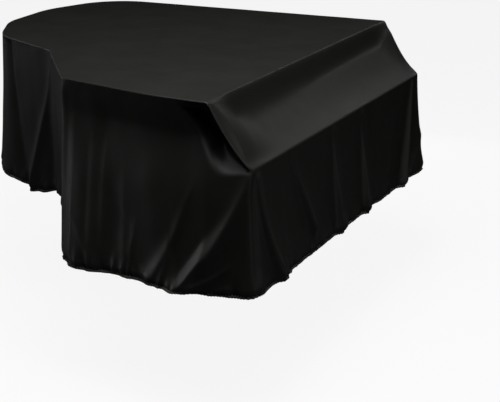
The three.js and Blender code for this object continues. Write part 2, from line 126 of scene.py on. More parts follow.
# Folds of the skirt: a crest from (along, z) to (along, z), its bow to the right, the widths of its left and
# right flanks, how narrow it starts, and its outward height at both ends. A minus height is a hollow.
FOLD_ROWS = [
    (0, -208, 224, -588, 22, 34, 46, 0.4, 9, 27),
    (205, -310, 318, -572, 10, 32, 24, 0.4, 4, 26),
    (120, -385, 222, -540, 0, 22, 22, 0.8, -5, -13),
    (84, -512, 192, -588, 0, 16, 12, 0.5, 5, 12),
    (230, -112, 480, -108, 0, 62, 105, 1, -32, -24),
    (440, -330, 428, -600, 0, 36, 30, 0.7, 2, 9),
    (520, -220, 536, -600, 0, 30, 34, 0.7, 2, 8),
    (588, -220, 588, -600, 0, 30, 26, 0.8, -3, -10),
    (880, -150, 905, -520, 0, 44, 44, 0.6, 2, 12),
    (1020, -200, 1000, -510, 0, 36, 36, 0.6, -2, -9),
    (1160, -110, 1296, -520, 0, 34, 24, 0.6, 3, 19),
    (1470, -20, 1366, -530, -14, 80, 50, 0.45, -14, -28),
    (1650, -160, 1690, -535, 0, 48, 40, 0.5, 2, 16),
    (1880, -120, 1850, -555, 0, 44, 50, 0.5, 2, 14),
    (2120, -180, 2160, -575, 0, 46, 46, 0.5, 2, 15),
    (2476, -40, 2440, -585, 0, 60, 60, 0.3, 4, 24),
    (2590, -120, 2640, -588, 0, 40, 44, 0.5, -3, -14),
    (2900, -200, 2860, -590, 0, 50, 46, 0.6, 2, 13),
    (3230, -160, 3260, -590, 0, 50, 50, 0.6, 2, 12),
    (3560, -220, 3540, -590, 0, 46, 50, 0.6, 2, 13),
    (-30, -212, -150, -575, -30, 15, 50, 0.5, 6, 19),
    (-296, -280, -394, -480, 0, 15, 44, 0.6, 4, 14),
    (-599, -225, -630, -560, 0, 16, 60, 0.6, 6, 17),
    (-856, -240, -874, -560, 0, 16, 50, 0.6, 6, 17),
    (-940, -280, -960, -570, 0, 36, 40, 0.8, -4, -10),
    (-1190, -320, -1090, -500, 0, 34, 34, 0.7, 2, 11),
    (-1392, -206, -1240, -575, 0, 20, 24, 0.5, 7, 24),
    (-1404, -290, -1332, -580, 0, 34, 40, 0.7, -10, -24),
    (-1470, -430, -1350, -575, 0, 22, 22, 0.7, 4, 12),
]

# Smaller creases of the skirt, with the same columns
SMALL_ROWS = [
    (262, -505, 285, -580, 0, 14, 12, 0.6, 3, 9),
    (262, -430, 240, -585, 0, 84, 18, 0.3, 1, 14),
    (120, -385, 222, -540, 0, 24, 22, 0.8, 2, 8),
    (20, -230, 214, -570, 21, 46, 20, 0.5, 2, 8),
    (205, -310, 318, -572, 10, 32, 24, 0.4, -2, -13),
    (78, -566, 118, -586, 0, 8, 8, 0.8, 3, 5),
    (652, -430, 570, -570, 8, 18, 20, 0.6, 2, 6),
    (706, -40, 704, -600, 0, 12, 18, 1, 5, 4),
    (480, -350, 440, -402, 0, 30, 30, 1, -4, -4),
    (395, -440, 412, -575, 0, 18, 18, 0.7, 2, 6),
    (1170, -300, 1165, -505, 0, 30, 30, 0.8, -3, -9),
    (-7, -224, -9, -570, 0, 15, 14, 0.8, -8, -11),
    (-200, -470, -178, -585, 0, 16, 16, 0.6, 2, 7),
    (-236, -520, -225, -588, 0, 12, 12, 0.6, 2, 6),
    (-34, -240, -148, -540, -29, 14, 26, 0.6, 3, 8),
    (-300, -300, -392, -490, 0, 13, 26, 0.6, 5, 9),
    (-599, -235, -626, -530, 0, 14, 28, 0.7, -2, 9),
    (-856, -250, -871, -530, 0, 14, 28, 0.7, -2, 9),
    (-1382, -225, -1244, -570, 0, 14, 10, 0.5, 3, 7),
]

# Pocket under the near edge of the slope: its lip falls away from the corner, its floor climbs inwards to a
# deepest line and closes again under the edge, and its left end leans
POCKET_LIP = -204.0
POCKET_FALL = 0.12
POCKET_LEAST = 24.0
POCKET_CLIMB = 72.0
POCKET_STEEP = 0.85
POCKET_CLOSE = 30.0
POCKET_START = 18.0
POCKET_END = 62.0
POCKET_LEAN = 0.64
POCKET_FADE = 60.0
POCKET_CLIMB_SHARE = 0.42
POCKET_CLOSE_SHARE = 0.35

# Slope between its edges: it drops at the ridge, then eases off towards the front
SLOPE_DROP = 56.0
DROP_EASE = 17.0
DROP_START = 6.0
DROP_INSET = (16, 140)
SLOPE_EASE = 0.28

# Step of the slope beside its near edge: ledge, width of the step and how it tapers, where it has faded,
# height and length
STEP_LEDGE = 17.0
STEP_WIDTH = 17.0
STEP_TAPER = (0.5, 1.1)
STEP_FADE = (60, 260)
STEP_HEIGHT = 22.0
STEP_LENGTH = 0.86

# Creases of the slope in plan, with the columns of the folds, and how soon they fade at its ridge and front
CREASE_FADE = 28.0
CREASE_ROWS = [
    (736, -680, 731, -730, 0, 9, 20, 1, -6, -3),
    (-200, -646, 730, -616, 0, 22, 60, 0.6, 0, 11),
    (-520, -652, 60, -640, 0, 24, 44, 0.6, -2, 0),
]

# Gathers above the hem: how far each may stray from its place, how it leans, widens upwards and fades, and
# how far to its sides it is worked out, in widths and reaches
PUCKER_PITCH = 17.0
PUCKER_STRAY = 0.42
PUCKER_LEAN = 0.14
PUCKER_REACH = (30.0, 100.0)
PUCKER_HEIGHT = (3.0, 9.0)
PUCKER_WIDTH = (5.0, 12.0)
PUCKER_RISE = 14.0
PUCKER_LEAST = 0.15
PUCKER_SPREAD = 1.3
PUCKER_FADE = 1.4
PUCKER_NEAR = (6, 0.5)

# Soft unevenness of the hanging cloth and the roof: its height, and the size, number and seed of its waves
RIPPLE_HEIGHT = 0.6
RIPPLE_STRETCH = 0.45
WAVE_SIZES = (0.7, 1.6)
ROOF_RIPPLE = 0.22
SKIRT_WAVES = (90, 7, SEED + 1)
SLOPE_WAVES = (70, 6, SEED + 5)
TOP_WAVES = (160, 8, SEED + 9)

# Hem roll: where its middle lies above and outside the edge, in half heights and half thicknesses
ROLL_HEIGHT = 8.0
ROLL_THICK = 7.0
ROLL_LIFT = 0.72
ROLL_OUT = 0.4
ROLL_SIDES = 10

# Gathering stitches of the hem roll: mesh steps for each, how far it is pinched, and how uneven that is
STITCH_PITCH = 9.0
STITCH_STEPS = 6
STITCH_PINCH = 0.4
STITCH_UNEVEN = 0.1

# Mesh of the roof: rings and fill of the top, columns of the slope, and how far from the edges and the ridge
# the unevenness starts
TOP_RIM_STEP = 7
TOP_RINGS = [11, 16, 23, 32]
TOP_SEAM_POINTS = 110
TOP_FILL_STEP = 15.0
TOP_FILL_CLEAR = 0.6
TOP_FILL_X = (-760, 770)
TOP_FILL_Y = (-590, 775)
TOP_CALM = 60
SLOPE_MIDDLE_POINTS = 150
SLOPE_CALM = 30
RIDGE_CALM = (-14, 20)

# Mesh steps, and the angle from which an edge is sharp
SHARP_EDGE = 60.0
SKIRT_STEP = 4.4
SKIRT_ROWS = np.concatenate([np.linspace(0, 0.86, 66), np.linspace(0.86, 1, 19)[1:]])
RIM_ANGLES = np.linspace(0, 90, 8)
PROBE = 0.5
TANGENT_REACH = 3.0
POCKET_REACH = 90.0


def lerp(a, b, t):
    return a + (b - a) * t


def smoothstep(value, low, high):
    t = np.clip((value - low) / (high - low), 0, 1)
    return t * t * (3 - 2 * t)


def unit(v):
    return v / np.linalg.norm(v)


# Upper edge in plan, as a chain of arcs and straight runs


def edge_runs():
    points = [np.array(corner[:2], float) for corner in CORNERS.values()]
    arcs = []
    for i, (_, _, radius) in enumerate(CORNERS.values()):
        corner = points[i]
        back = unit(points[i - 1] - corner)
        ahead = unit(points[(i + 1) % len(points)] - corner)
        half = math.acos(float(back @ ahead)) / 2
        reach = radius / math.tan(half)
        centre = corner + unit(back + ahead) * radius / math.sin(half)
        first = corner + back * reach
        turn = -1 if back[0] * ahead[1] - back[1] * ahead[0] > 0 else 1
        angle = math.atan2(*(first - centre)[::-1])
        length = radius * (math.pi - 2 * half)
        arcs.append((first, corner + ahead * reach, centre, radius, angle, turn, length))
    runs = []
    for i, (_, last, centre, radius, angle, turn, length) in enumerate(arcs):
        runs.append((1, *centre, radius, angle, turn / radius, length))
        onward = arcs[(i + 1) % len(arcs)][0] - last
        gap = float(np.linalg.norm(onward))
        runs.append((0, *last, *(onward / gap), 0, gap))
    return np.array(runs, float)


RUNS = edge_runs()
RUN_ENDS = np.cumsum(RUNS[:, 6])
ROUND = float(RUN_ENDS[-1])
HALF_CORNER = RUNS[0, 6] / 2


def corner_along(name):
    index = 2 * list(CORNERS).index(name)
    return float(RUN_ENDS[index] - RUNS[index, 6] / 2 - HALF_CORNER)


HIP = corner_along("hip") + HIP_SEAM_PAST
SHOULDER = corner_along("shoulder") + SHOULDER_SEAM_PAST
FAR_CORNER = corner_along("front_far")


def edge_point(along):
    place = np.mod(np.asarray(along, float) + HALF_CORNER, ROUND)
    index = np.minimum(np.searchsorted(RUN_ENDS, place, side="right"), len(RUNS) - 1)
    run = RUNS[index]
    local = place - (RUN_ENDS[index] - run[..., 6])
    arc = run[..., 0] > 0
    angle = run[..., 4] + run[..., 5] * local
    x = np.where(arc, run[..., 1] + run[..., 3] * np.cos(angle), run[..., 1] + run[..., 3] * local)
    y = np.where(arc, run[..., 2] + run[..., 3] * np.sin(angle), run[..., 2] + run[..., 4] * local)
    return x, y


def edge_outward(along, reach=TANGENT_REACH):
    x0, y0 = edge_point(np.asarray(along) - reach)
    x1, y1 = edge_point(np.asarray(along) + reach)
    length = np.hypot(x1 - x0, y1 - y0)
    return -(y1 - y0) / length, (x1 - x0) / length


# Roof and skirt shapes


def ridge_y(x):
    return RIDGE_Y + RIDGE_SLANT * x


def roof_fall(x, y):
    run = ridge_y(x) - y
    whole = ridge_y(x) - FRONT_Y
    easing = (SLOPE_STEEPEST * whole - SLOPE_FALL) / (whole - RIDGE_ROUND) ** 2
    rounded = SLOPE_STEEPEST * (run + RIDGE_ROUND) ** 2 / (4 * RIDGE_ROUND)
    sloped = SLOPE_STEEPEST * run - easing * (run - RIDGE_ROUND) ** 2
    return np.where(run <= -RIDGE_ROUND, 0, np.where(run < RIDGE_ROUND, rounded, sloped))


def fold_height(row, u, v):
    """Height of one fold at points of its sheet, with a crest a little crisper than its flanks."""
    u0, v0, u1, v1, bow, left, right, narrow, height0, height1 = row
    length = math.hypot(u1 - u0, v1 - v0)
    du, dv = u - u0, v - v0
    t = (du * (u1 - u0) + dv * (v1 - v0)) / length ** 2
    inside = np.clip(t, 0, 1)
    side = (du * (v1 - v0) - dv * (u1 - u0)) / length - 4 * bow * inside * (1 - inside)
    reach = np.where(side > 0, right, left) * lerp(narrow, 1, inside)
    q = side / reach
    soft = np.exp(-q ** 2)
    crisp = np.exp(-CREST_STEEP * (np.sqrt(q ** 2 + CREST_ROUND) - CREST_TOP))
    past = np.abs(t - inside) * length / (left + right)
    return lerp(height0, height1, inside) * lerp(soft, crisp, FOLD_CREST) * np.exp(-past ** 2)


def wrap(along):
    return along - ROUND * np.round(along / ROUND)


def hem_at(along):
    place = np.where(along > FAR_CORNER, along - ROUND, along)
    index = np.clip(np.searchsorted(HEM_ROWS[:, 0], place, side="right"), 1, len(HEM_ROWS) - 1)
    a, b = HEM_ROWS[index - 1], HEM_ROWS[index]
    t = smoothstep(place, a[..., 0], b[..., 0])
    return lerp(a[..., 1], b[..., 1], t), lerp(a[..., 2], b[..., 2], t)


def skirt_top(x, y):
    steepness = (roof_fall(x, y - PROBE) - roof_fall(x, y + PROBE)) / (2 * PROBE)
    return CLOTH - roof_fall(x, y) - RIM_RADIUS - SEAM_GAP * np.hypot(1, steepness)


def gathers():
    """Seeded puckers round the hem: place, lean, width, reach and height of each."""
    random = np.random.default_rng(SEED)
    count = int(ROUND / PUCKER_PITCH)
    place = (np.arange(count) + random.uniform(-PUCKER_STRAY, PUCKER_STRAY, count)) * ROUND / count
    lean = random.normal(0, PUCKER_LEAN, count)
    width = random.uniform(*PUCKER_WIDTH, count)
    reach = random.uniform(*PUCKER_REACH, count)
    height = random.uniform(*PUCKER_HEIGHT, count) * random.choice([-1, 1, 1], count)
    return np.stack([place, lean, width, reach, height], axis=1)


PUCKERS = gathers()


def pucker_height(along, above):
    total = np.zeros_like(along)
    for place, lean, width, reach, height in PUCKERS:
        near = np.abs(wrap(along - place)) < PUCKER_NEAR[0] * width + PUCKER_NEAR[1] * reach
        part = above[near] / reach
        spread = width * (1 + PUCKER_SPREAD * np.clip(part, 0, 1))
        side = (wrap(along[near] - place) - lean * above[near]) / spread
        rise = np.clip(above[near] / PUCKER_RISE, PUCKER_LEAST, 1) * np.clip(1 - part, 0, 1) ** PUCKER_FADE
        total[near] += height * np.exp(-side ** 2) * rise
    return total


def waves(u, v, size, count, seed):
    """Smooth unevenness between about -1 and 1, from a few crossing waves of about that size."""
    random = np.random.default_rng(seed)
    total = np.zeros_like(u)
    for _ in range(count):
        angle = random.uniform(0, 2 * math.pi)
        wave = 2 * math.pi / (size * random.uniform(*WAVE_SIZES))
        total += np.sin(wave * (u * math.cos(angle) + v * math.sin(angle)) + random.uniform(0, 2 * math.pi))
    return total / math.sqrt(count)


def pocket_depth(along, z, top):
    """Depth of the scoop under the slope's near edge."""
    lip = POCKET_LIP - POCKET_FALL * along
    tall = np.maximum(top - lip, POCKET_LEAST)
    climb = np.minimum(POCKET_CLIMB, POCKET_CLIMB_SHARE * tall)
    floor = np.clip((z - lip) / climb, 0, 1)
    close = smoothstep(top - z, 0, np.minimum(POCKET_CLOSE, POCKET_CLOSE_SHARE * tall))
    end = POCKET_END + POCKET_LEAN * (z - POCKET_LIP)
    opening = smoothstep(along, 0, POCKET_START) * smoothstep(end + POCKET_FADE - along, 0, POCKET_FADE)
    return POCKET_STEEP * climb * floor * close * opening


def skirt_point(along, down):
    x, y = edge_point(along)
    out_x, out_y = edge_outward(along)
    in_x, in_y = edge_outward(np.clip(wrap(along), POCKET_REACH, None), POCKET_REACH)
    height, flare = hem_at(along)
    top = skirt_top(x, y)
    z = lerp(top, height, down)
    folds = sum(fold_height(row, row[0] + wrap(along - row[0]), z) for row in FOLD_ROWS + SMALL_ROWS)
    folds = folds + RIPPLE_HEIGHT * waves(along, RIPPLE_STRETCH * z, *SKIRT_WAVES)
    tuck = HEM_TUCK * smoothstep(height + HEM_TUCK_HEIGHT - z, 0, HEM_TUCK_HEIGHT)
    gather = pucker_height(along, z - height)
    out = flare * np.maximum(down, 0) ** FLARE_GROWTH - tuck
    out = out + (folds + gather) * smoothstep(top - z, 0, FOLD_EASE)
    scoop = pocket_depth(wrap(along), z, top)
    return np.stack([x + out_x * out - in_x * scoop, y + out_y * out - in_y * scoop, z], axis=-1)


def slope_sag(x, y):
    """How far the slope hangs below the line of its edges."""
    run = ridge_y(x) - y
    whole = ridge_y(x) - FRONT_Y
    ramp = np.where(run < RIDGE_ROUND, np.maximum(run + RIDGE_ROUND, 0) ** 2 / (4 * RIDGE_ROUND), run)
    drop = SLOPE_DROP * (1 - np.exp(-(np.maximum(run + DROP_START, 0) / DROP_EASE) ** 2))
    part = ramp / whole
    fall = drop + (SLOPE_FALL - SLOPE_DROP) * part * (1 + SLOPE_EASE * (1 - part))
    near, far = CORNERS["front_near"][0], CORNERS["front_far"][0]
    held = smoothstep(np.minimum(x - near, far - x), *DROP_INSET)
    return held * (fall - roof_fall(x, y))


def near_step(x, y):
    """Step up from the ledge along the slope's near edge."""
    run = (ridge_y(x) - y) / (ridge_y(x) - FRONT_Y)
    edge = lerp(CORNERS["ridge_near"][0], CORNERS["front_near"][0], np.clip(run, 0, 1))
    length = np.sin(math.pi * np.clip(run / STEP_LENGTH, 0, 1))
    rise = smoothstep((x - edge) / lerp(*STEP_TAPER, length), STEP_LEDGE, STEP_LEDGE + STEP_WIDTH)
    return STEP_HEIGHT * length * rise * (1 - smoothstep(x - edge, *STEP_FADE))


def roof_height(x, y):
    creases = sum(fold_height(row, x, y) for row in CREASE_ROWS)
    below = smoothstep(ridge_y(x) - y, RIDGE_ROUND, RIDGE_ROUND + CREASE_FADE)
    above = smoothstep(y - FRONT_Y, 0, CREASE_FADE)
    return CLOTH - roof_fall(x, y) + creases * below * above - slope_sag(x, y) + near_step(x, y)


# Meshes


def new_mesh(name, points, faces, uvs=None):
    """Object at the origin with a mesh from millimetres, and with flat sizes in metres as its UV map."""
    mesh = bpy.data.meshes.new(name)
    mesh.from_pydata((np.asarray(points).reshape(-1, 3) * MM).tolist(), [], faces)
    mesh.update()
    if uvs is not None:
        layer = mesh.uv_layers.new(name="cut")
        loops = np.zeros(len(mesh.loops), np.int32)
        mesh.loops.foreach_get("vertex_index", loops)
        layer.data.foreach_set("uv", (np.asarray(uvs).reshape(-1, 2)[loops] * MM).astype(np.float32).ravel())
    piece = bpy.data.objects.new(name, mesh)
    bpy.context.scene.collection.objects.link(piece)
    mesh.polygons.foreach_set("use_smooth", [True] * len(mesh.polygons))
    return piece


def pick(piece):
    bpy.ops.object.select_all(action="DESELECT")
    piece.select_set(True)
    bpy.context.view_layer.objects.active = piece


def thicken(piece, thickness):
    """Gives a sheet its thickness on its inner side."""
    pick(piece)
    wall = piece.modifiers.new("thickness", "SOLIDIFY")
    wall.thickness = thickness * MM
    wall.offset = -1
    wall.use_even_offset = False
    bpy.ops.object.modifier_apply(modifier=wall.name)
    bpy.ops.object.shade_smooth_by_angle(angle=math.radians(SHARP_EDGE))
    return piece


def grid_faces(columns, rows):
    i, j = np.meshgrid(np.arange(columns - 1), np.arange(rows - 1), indexing="ij")
    a = (i * rows + j).ravel()
    return np.stack([a, a + rows, a + rows + 1, a + 1], axis=1).tolist()


def skirt(name, start, end):
    count = max(2, round((end - start - SEAM_GAP) / SKIRT_STEP))
    stations = np.linspace(start + SEAM_GAP / 2, end - SEAM_GAP / 2, count + 1)
    along, down = np.meshgrid(stations, SKIRT_ROWS, indexing="ij")
    points = skirt_point(along, down)
    drop = np.linalg.norm(np.diff(points, axis=1), axis=2)
    fall = np.concatenate([np.zeros((len(stations), 1)), np.cumsum(drop, axis=1)], axis=1)
    uvs = np.stack([along, -fall], axis=-1)
    piece = new_mesh(name, points, grid_faces(len(stations), len(SKIRT_ROWS)), uvs)
    return thicken(piece, SHEET)


def face_out(piece):
    pick(piece)
    bpy.ops.object.mode_set(mode="EDIT")
    bpy.ops.mesh.select_all(action="SELECT")
    bpy.ops.mesh.normals_make_consistent(inside=False)
    bpy.ops.object.mode_set(mode="OBJECT")


def hem_roll(name, start, end):
    """Gathered roll along a skirt's lower edge, pinched at every stitch."""
    count = round((end - start - SEAM_GAP) / STITCH_PITCH) * STITCH_STEPS
    stations = np.linspace(start + SEAM_GAP / 2, end - SEAM_GAP / 2, count + 1)
    edge = skirt_point(stations, np.ones_like(stations))
    out_x, out_y = edge_outward(stations)
    outward = np.stack([out_x, out_y, np.zeros_like(out_x)], axis=-1)
    random = np.random.default_rng(SEED + 3)
    beat = np.cos(2 * math.pi * np.arange(count + 1) / STITCH_STEPS)
    stitches = stations[::STITCH_STEPS]
    uneven = np.interp(stations, stitches, random.normal(0, 1, len(stitches)))
    swell = 1 + STITCH_PINCH * beat + STITCH_UNEVEN * uneven
    angles = np.linspace(0, 2 * math.pi, ROLL_SIDES, endpoint=False)
    ring = []
    for angle in angles:
        rise = ROLL_HEIGHT / 2 * (ROLL_LIFT + math.sin(angle)) * swell
        reach = ROLL_THICK / 2 * (ROLL_OUT + math.cos(angle)) * swell
        ring.append(edge + outward * reach[:, None] + np.array([0, 0, 1]) * rise[:, None])
    points = np.stack(ring, axis=1)
    faces = []
    for i in range(count):
        for j in range(ROLL_SIDES):
            a = i * ROLL_SIDES + j
            b = i * ROLL_SIDES + (j + 1) % ROLL_SIDES
            faces.append([a, b, b + ROLL_SIDES, a + ROLL_SIDES])
    faces.append(list(range(ROLL_SIDES))[::-1])
    faces.append([count * ROLL_SIDES + j for j in range(ROLL_SIDES)])
    uvs = np.stack(np.meshgrid(stations, angles * ROLL_HEIGHT / 2, indexing="ij"), axis=-1)
    piece = new_mesh(name, points, faces, uvs)
    face_out(piece)
    return piece


SLOPE_RUNS = np.concatenate([np.linspace(-RIDGE_ROUND, 30, 20), np.linspace(30, 114, 24)[1:]])
CORNER_TURNS = np.linspace(1, 0, 8)
CORNER_SWEEP = 2 * HALF_CORNER / FRONT_CORNER_RADIUS
RIM_INSETS = RIM_RADIUS * (1 - np.sin(np.radians(RIM_ANGLES)))
SLOPE_INSETS = [RIM_INSETS[::-1], np.linspace(RIM_RADIUS, 60, 12)[1:], np.linspace(60, 150, 14)[1:]]
SIDE_REACH = 300.0


def slope_rows():
    rows = [lambda x, run=run: lerp(ridge_y(x), FRONT_Y, run / (RIDGE_Y - FRONT_Y)) for run in SLOPE_RUNS]
    for turn in CORNER_TURNS:
        back = FRONT_CORNER_RADIUS * (1 - math.cos(CORNER_SWEEP * turn))
        rows.append(lambda x, back=back: FRONT_Y + back + 0 * x)
    return rows


def row_end(row, low, high):
    """Where a row of the slope meets a side edge."""
    def offset(along):
        x, y = edge_point(along)
        return float(y - row(x))
    rising = offset(high) > offset(low)
    for _ in range(48):
        middle = (low + high) / 2
        if (offset(middle) < 0) == rising:
            low = middle
        else:
            high = middle
    return (low + high) / 2


def near_end(row):
    return row_end(row, -HALF_CORNER, SIDE_REACH)


def far_end(row):
    return row_end(row, FAR_CORNER + HALF_CORNER, FAR_CORNER - SIDE_REACH)


def corner_circle(name):
    index = 2 * list(CORNERS).index(name)
    return RUNS[index, 1:4]


def slope():
    """Slope from the ridge seam to the front edge, its rim turned down over the sides and the front."""
    insets = np.concatenate(SLOPE_INSETS)
    margin = insets[-1]
    rows = slope_rows()
    points = []
    for i, row in enumerate(rows):
        near, far = near_end(row), far_end(row)
        left, right = float(edge_point(near)[0]), float(edge_point(far)[0])
        middle = np.linspace(left + margin, right - margin, SLOPE_MIDDLE_POINTS)[1:-1]
        x = np.concatenate([left + insets, middle, right - insets[::-1]])
        y = row(x) - (SEAM_GAP if i == 0 else 0)
        inset = np.minimum(np.minimum(x - left, right - x), y - FRONT_Y)
        for name, side in (("front_near", -1), ("front_far", 1)):
            cx, cy, radius = corner_circle(name)
            inside = ((x - cx) * side > 0) & (y < cy)
            inset = np.where(inside, np.maximum(radius - np.hypot(x - cx, y - cy), 0), inset)
        lean = np.clip(1 - inset / RIM_RADIUS, 0, 1)
        z = roof_height(x, y) - RIM_RADIUS * (1 - np.sqrt(1 - lean ** 2))
        ripple = ROOF_RIPPLE * waves(x, y, *SLOPE_WAVES) * smoothstep(inset, 0, SLOPE_CALM)
        run = np.full_like(x, SLOPE_RUNS[min(i, len(SLOPE_RUNS) - 1)])
        ripple = ripple * smoothstep(run, *RIDGE_CALM)
        points.append(np.stack([x, y, z + ripple], axis=-1))
    points = np.array(points)
    columns = points.shape[1]
    run = np.linalg.norm(np.diff(points[:, columns // 2], axis=0), axis=1)
    fall = np.concatenate([[0], np.cumsum(run)])
    uvs = np.stack([points[..., 0], np.repeat(-fall[:, None], columns, axis=1)], axis=-1)
    piece = new_mesh("slope_cloth", points, grid_faces(len(rows), columns), uvs)
    return thicken(piece, SHEET)


def signed_up(points, face):
    """Plus where a face of the top has its outer side up."""
    a, b, c = (np.array(points[i][:2]) for i in face[:3])
    return float((b - a)[0] * (c - a)[1] - (b - a)[1] * (c - a)[0])


def edge_inset(points, boundary):
    """How far each point of the top is from its edge, in plan."""
    spread = [np.hypot(points[:, 0] - bx, points[:, 1] - by) for bx, by in boundary[::3]]
    return np.min(spread, axis=0)


def top():
    """Flat top: a rim turned down along the edge, rings inside it, and an even fill."""
    front = slope_rows()[0]
    start, end = near_end(front), far_end(front)
    stations = np.linspace(start, end, round((end - start) / TOP_RIM_STEP))
    x, y = edge_point(stations)
    out_x, out_y = edge_outward(stations)
    insets = np.concatenate([RIM_INSETS[::-1], TOP_RINGS])
    rings = []
    for inset in insets:
        px, py = x - out_x * inset, y - out_y * inset
        py[0], py[-1] = front(px[0]), front(px[-1])
        lean = min(max(1 - inset / RIM_RADIUS, 0), 1)
        pz = roof_height(px, py) - RIM_RADIUS * (1 - math.sqrt(1 - lean ** 2))
        rings.append(np.stack([px, py, pz], axis=-1))
    rim = np.stack(rings, axis=1)
    rows = len(insets)
    ring = rim[:, -1, :2]
    front_x = np.linspace(ring[-1, 0], ring[0, 0], TOP_SEAM_POINTS)[1:-1]
    seam = np.stack([front_x, front(front_x)], axis=-1)
    boundary = np.concatenate([ring, seam])
    gx, gy = np.meshgrid(np.arange(*TOP_FILL_X, TOP_FILL_STEP), np.arange(*TOP_FILL_Y, TOP_FILL_STEP))
    gx = gx + np.where(np.arange(gx.shape[0]) % 2, TOP_FILL_STEP / 2, 0)[:, None]
    grid = np.stack([gx.ravel(), gy.ravel()], axis=-1)
    edge_x, edge_y = boundary[::2].T
    gap = np.min(np.hypot(grid[:, :1] - edge_x, grid[:, 1:] - edge_y), axis=1)
    grid = grid[gap > TOP_FILL_CLEAR * TOP_FILL_STEP]
    coords = [Vector(p) for p in np.concatenate([boundary, grid])]
    edges = [(i, (i + 1) % len(boundary)) for i in range(len(boundary))]
    flat, _, fill, origin, _, _ = delaunay_2d_cdt(coords, edges, [], 1, 1e-3)
    place = {}
    points = rim.reshape(-1, 3).tolist()
    for i, sources in enumerate(origin):
        ringed = [s for s in sources if s < len(ring)]
        if ringed:
            place[i] = ringed[0] * rows + rows - 1
        else:
            place[i] = len(points)
            px, py = flat[i]
            points.append([px, py, float(roof_height(np.float64(px), np.float64(py)))])
    faces = grid_faces(len(stations), rows)
    faces = [face[::-1] for face in faces] if signed_up(points, faces[0]) < 0 else faces
    for face in fill:
        corners = [place[i] for i in face]
        faces.append(corners if signed_up(points, corners) > 0 else corners[::-1])
    points = np.array(points)
    inner = smoothstep(edge_inset(points, boundary), 0, TOP_CALM)
    points[:, 2] += ROOF_RIPPLE * waves(points[:, 0], points[:, 1], *TOP_WAVES) * inner
    piece = new_mesh("top_cloth", points, faces, points[:, :2])
    return thicken(piece, SHEET)


# Finishes

# Colour sockets of a mix node
MIX_FIRST = 6
MIX_SECOND = 7
MIX_RESULT = 2


def node_group(name, inputs, outputs):
    group = bpy.data.node_groups.new(name, "ShaderNodeTree")
    for label, kind, value in inputs:
        socket = group.interface.new_socket(label, in_out="INPUT", socket_type=kind)
        if value is not None:
            socket.default_value = value
    for label, kind in outputs:
        group.interface.new_socket(label, in_out="OUTPUT", socket_type=kind)
    return group, group.nodes.new("NodeGroupInput"), group.nodes.new("NodeGroupOutput")


def maths(tree, operation, a, b=None):
    node = tree.nodes.new("ShaderNodeMath")
    node.operation = operation
    for socket, value in zip(node.inputs, (a, b)):
        if isinstance(value, (int, float)):
            socket.default_value = value
        elif value is not None:
            tree.links.new(value, socket)
    return node.outputs[0]


def twill_weave():
    """Fine diagonal weave: its height, and a tone that varies from thread to thread."""
    group, given, out = node_group(
        "twill weave",
        [("Vector", "NodeSocketVector", None), ("Threads", "NodeSocketFloat", 900.0)],
        [("Height", "NodeSocketFloat"), ("Tone", "NodeSocketFloat")],
    )
    scaled = group.nodes.new("ShaderNodeVectorMath")
    scaled.operation = "SCALE"
    group.links.new(given.outputs["Vector"], scaled.inputs[0])
    group.links.new(given.outputs["Threads"], scaled.inputs["Scale"])
    split = group.nodes.new("ShaderNodeSeparateXYZ")
    group.links.new(scaled.outputs[0], split.inputs[0])
    diagonal = maths(group, "ADD", split.outputs[0], maths(group, "MULTIPLY", split.outputs[1], 2.0))
    rib = maths(group, "SINE", maths(group, "MULTIPLY", diagonal, math.pi))
    cross = maths(group, "SINE", maths(group, "MULTIPLY", split.outputs[1], 2 * math.pi))
    height = maths(group, "ADD", maths(group, "MULTIPLY", rib, 0.5), maths(group, "MULTIPLY", cross, 0.25))
    group.links.new(height, out.inputs["Height"])
    slub = group.nodes.new("ShaderNodeTexNoise")
    slub.inputs["Scale"].default_value = 0.06
    slub.inputs["Detail"].default_value = 2.0
    stretch = group.nodes.new("ShaderNodeMapping")
    stretch.inputs["Scale"].default_value = (1.0, 0.12, 1.0)
    group.links.new(scaled.outputs[0], stretch.inputs[0])
    group.links.new(stretch.outputs[0], slub.inputs["Vector"])
    group.links.new(slub.outputs["Fac"], out.inputs["Tone"])
    return group


def handling():
    """Soft patches where the cloth has been handled: a mask between 0 and 1."""
    group, given, out = node_group(
        "handling",
        [("Vector", "NodeSocketVector", None), ("Size", "NodeSocketFloat", 6.0)],
        [("Mask", "NodeSocketFloat")],
    )
    noise = group.nodes.new("ShaderNodeTexNoise")
    noise.inputs["Detail"].default_value = 4.0
    noise.inputs["Roughness"].default_value = 0.55
    group.links.new(given.outputs["Vector"], noise.inputs["Vector"])
    group.links.new(given.outputs["Size"], noise.inputs["Scale"])
    spread = group.nodes.new("ShaderNodeMapRange")
    spread.inputs["From Min"].default_value = 0.35
    spread.inputs["From Max"].default_value = 0.65
    group.links.new(noise.outputs["Fac"], spread.inputs["Value"])
    group.links.new(spread.outputs["Result"], out.inputs["Mask"])
    return group


WEAVE = twill_weave()
HANDLING = handling()


